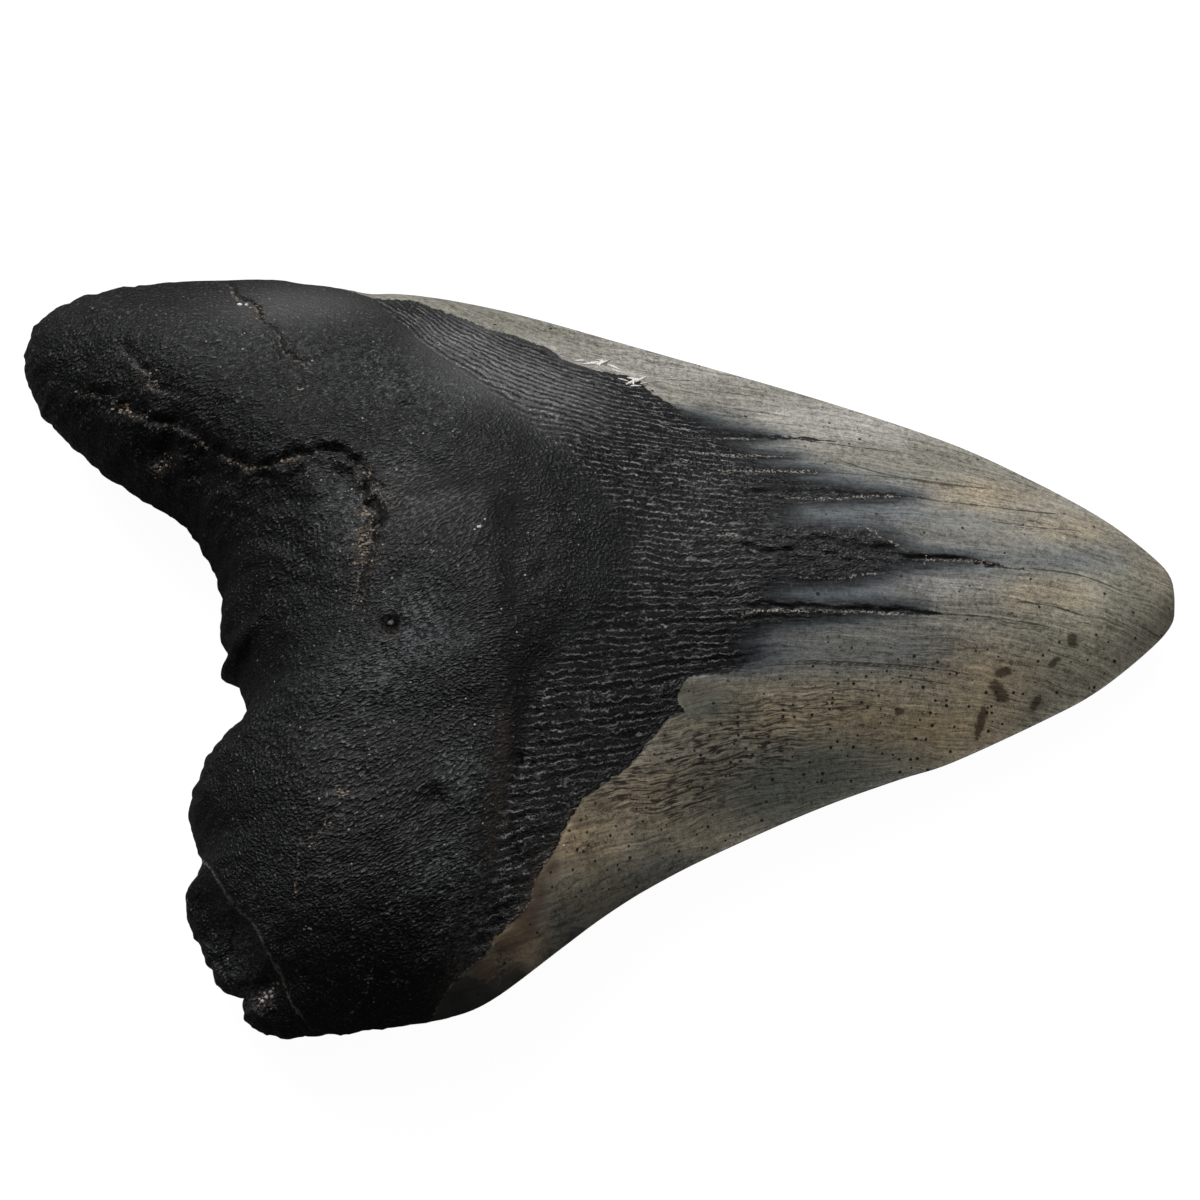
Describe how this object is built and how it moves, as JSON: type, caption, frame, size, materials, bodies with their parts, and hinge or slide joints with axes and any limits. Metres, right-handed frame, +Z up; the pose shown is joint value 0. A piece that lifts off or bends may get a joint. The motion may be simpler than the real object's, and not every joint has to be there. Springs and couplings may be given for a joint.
{
  "type": "megalodon tooth",
  "caption": "Fossil shark tooth lying on its labial face: dark two-lobed root, wrinkled bourlette and a worn grey-brown enamel crown with lengthwise fissures.",
  "frame": {"origin": "under the middle of the bounding box, level with the surface the tooth rests on", "axes": "+X along the crown towards its tip, +Y towards the longer root lobe, +Z up, out of the lingual face"},
  "size_m": [0.1254, 0.0874, 0.0285],
  "materials": {
    "fossil": "mineralised: near-black semi-gloss root and bourlette, satin grey-brown enamel"
  },
  "bodies": {
    "root": {"tooth": "fossil"}
  },
  "joints": []
}
